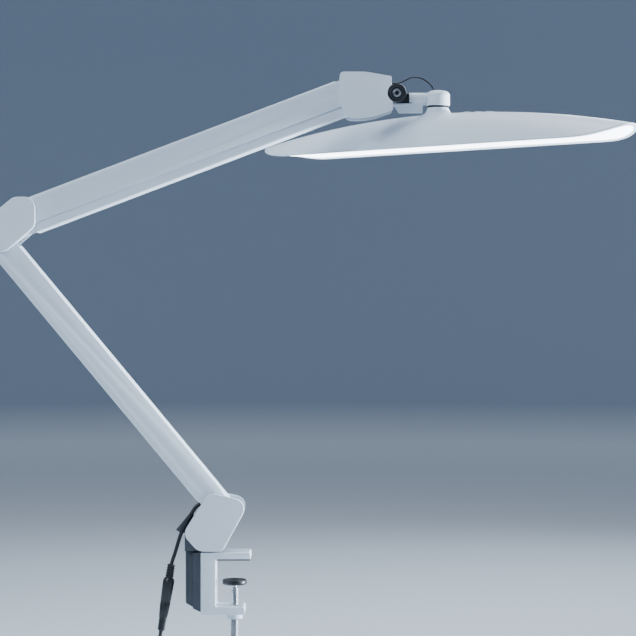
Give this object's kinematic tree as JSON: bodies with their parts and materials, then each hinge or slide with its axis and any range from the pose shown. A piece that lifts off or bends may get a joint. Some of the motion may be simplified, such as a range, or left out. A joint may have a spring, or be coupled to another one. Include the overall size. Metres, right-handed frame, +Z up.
{
  "type": "architect desk lamp",
  "caption": "Clamp-on desk lamp with spring-balanced parallel-link arms, a swivelling base and a long tilting LED head.",
  "frame": {"origin": "middle of the upper jaw's underside, where it rests on the desk top", "axes": "+X from the clamp towards the lamp's head, in the plane of the arms; +Y across the arms, away from the front; +Z up"},
  "size_m": [0.7839, 0.405, 0.8152],
  "materials": {
    "white_paint": "satin white powder coat on cast metal",
    "white_arm": "satin white powder coat on aluminium",
    "white_plastic": "fine matt white moulding",
    "grey_casting": "matt grey glass-filled moulding",
    "charcoal_casting": "matt charcoal paint on cast aluminium",
    "charcoal_plastic": "matt charcoal moulding",
    "black_plastic": "satin black moulding",
    "steel": "zinc-plated",
    "aluminium": "mill finish",
    "opal_plastic": "opal diffuser, lit",
    "circuit_board": "green solder mask",
    "rubber": "matt",
    "cable": "satin black cable jacket"
  },
  "bodies": {
    "clamp": {"clamp_frame": "white_paint", "top_jaw_pad": "rubber", "socket_block": "charcoal_casting", "socket_screw_front": "steel", "socket_screw_rear": "steel", "swivel_bush": "black_plastic"},
    "plate": {"pressure_plate": "black_plastic"},
    "screw": {"clamp_screw": "steel", "clamp_knob": "black_plastic"},
    "base": {"base_block": "charcoal_casting", "swivel_pin": "steel", "base_cover_front": "white_plastic", "base_cover_rear": "white_plastic", "base_pin_outer": "steel", "base_pin_inner": "steel", "cable_guide": "charcoal_plastic", "lamp_cord": "cable", "cord_socket": "cable", "adapter_plug": "cable", "adapter_lead": "cable", "adapter_coil": "cable", "wall_adapter": "black_plastic"},
    "lower_outer": {"lower_outer_channel": "white_arm", "lower_spring": "steel", "lower_spring_bracket": "steel"},
    "lower_inner": {"lower_inner_channel": "white_arm"},
    "elbow": {"elbow_block": "grey_casting", "elbow_cover_front": "white_plastic", "elbow_cover_rear": "white_plastic", "elbow_lower_pin_outer": "steel", "elbow_lower_pin_inner": "steel", "elbow_upper_pin_outer": "steel", "elbow_upper_pin_inner": "steel"},
    "upper_outer": {"upper_outer_channel": "white_arm", "upper_spring": "steel", "upper_spring_bracket": "steel"},
    "upper_inner": {"upper_inner_channel": "white_arm"},
    "head_housing": {"head_block": "grey_casting", "head_cover_front": "white_plastic", "head_cover_rear": "white_plastic", "head_pin_outer": "steel", "head_pin_inner": "steel", "hinge_ring_front": "black_plastic", "hinge_ring_rear": "black_plastic", "tilt_screw": "steel", "tilt_nut": "steel", "head_lead": "cable"},
    "neck": {"tilt_block": "black_plastic", "neck_tube": "white_arm", "turret": "white_plastic"},
    "shade": {"shade_shell": "white_plastic", "diffuser": "opal_plastic", "heat_spreader": "aluminium", "led_board": "circuit_board", "driver_board": "circuit_board", "switch_board": "circuit_board", "swivel_post": "black_plastic"},
    "power": {"power_button": "black_plastic"},
    "dimmer": {"dimmer_button": "black_plastic"},
    "colour": {"colour_button": "black_plastic"}
  },
  "joints": [
    {"name": "plate_travel", "type": "slide", "parent": "clamp", "child": "plate", "axis": [0, 0, 1], "range_m": [-0.02, 0.02]},
    {"name": "screw_turn", "type": "hinge", "parent": "plate", "child": "screw", "pos_m": [0, 0, -0.06], "axis": [0, 0, 1], "range_deg": [-3600, 3600]},
    {"name": "base_swivel", "type": "hinge", "parent": "clamp", "child": "base", "pos_m": [-0.04985, 0, 0.0109], "axis": [0, 0, 1], "range_deg": [-95, 65]},
    {"name": "lower_arm_lift", "type": "hinge", "parent": "base", "child": "lower_outer", "pos_m": [-0.0249, 0, 0.0656], "axis": [0, 1, 0], "range_deg": [-6, 62], "deforming": ["lower_spring"]},
    {"name": "lower_link", "type": "hinge", "parent": "base", "child": "lower_inner", "pos_m": [-0.0046, 0, 0.0527], "axis": [0, 1, 0], "range_deg": [-6, 62]},
    {"name": "elbow_level", "type": "hinge", "parent": "lower_outer", "child": "elbow", "pos_m": [-0.29981, 0, 0.39637], "axis": [0, 1, 0], "range_deg": [-62, 6]},
    {"name": "upper_arm_lift", "type": "hinge", "parent": "elbow", "child": "upper_outer", "pos_m": [-0.27761, 0, 0.41408], "axis": [0, 1, 0], "range_deg": [-42, 20], "deforming": ["upper_spring"]},
    {"name": "upper_link", "type": "hinge", "parent": "elbow", "child": "upper_inner", "pos_m": [-0.25731, 0, 0.40118], "axis": [0, 1, 0], "range_deg": [-42, 20]},
    {"name": "head_level", "type": "hinge", "parent": "upper_outer", "child": "head_housing", "pos_m": [0.14124, 0, 0.57276], "axis": [0, 1, 0], "range_deg": [-20, 42]},
    {"name": "head_tilt", "type": "hinge", "parent": "head_housing", "child": "neck", "pos_m": [0.19634, 0, 0.56336], "axis": [0, 1, 0], "range_deg": [-50, 15], "deforming": ["head_lead"]},
    {"name": "head_swivel", "type": "hinge", "parent": "neck", "child": "shade", "pos_m": [0.24664, 0, 0.54926], "axis": [0, 0, 1], "range_deg": [-100, 5]},
    {"name": "power_press", "type": "slide", "parent": "shade", "child": "power", "axis": [0, 0, -1], "range_m": [0, 0.001], "stiffness_N_per_m": 800, "springref_m": -0.0005},
    {"name": "dimmer_press", "type": "slide", "parent": "shade", "child": "dimmer", "axis": [0, 0, -1], "range_m": [0, 0.001], "stiffness_N_per_m": 800, "springref_m": -0.0005},
    {"name": "colour_press", "type": "slide", "parent": "shade", "child": "colour", "axis": [0, 0, -1], "range_m": [0, 0.001], "stiffness_N_per_m": 800, "springref_m": -0.0005}
  ],
  "couplings": [
    {"joint": "screw_turn", "follows": "plate_travel", "rad_per_m": 3141.6},
    {"joint": "lower_link", "follows": "lower_arm_lift", "ratio": 1},
    {"joint": "elbow_level", "follows": "lower_arm_lift", "ratio": -1},
    {"joint": "upper_link", "follows": "upper_arm_lift", "ratio": 1},
    {"joint": "head_level", "follows": "upper_arm_lift", "ratio": -1}
  ]
}
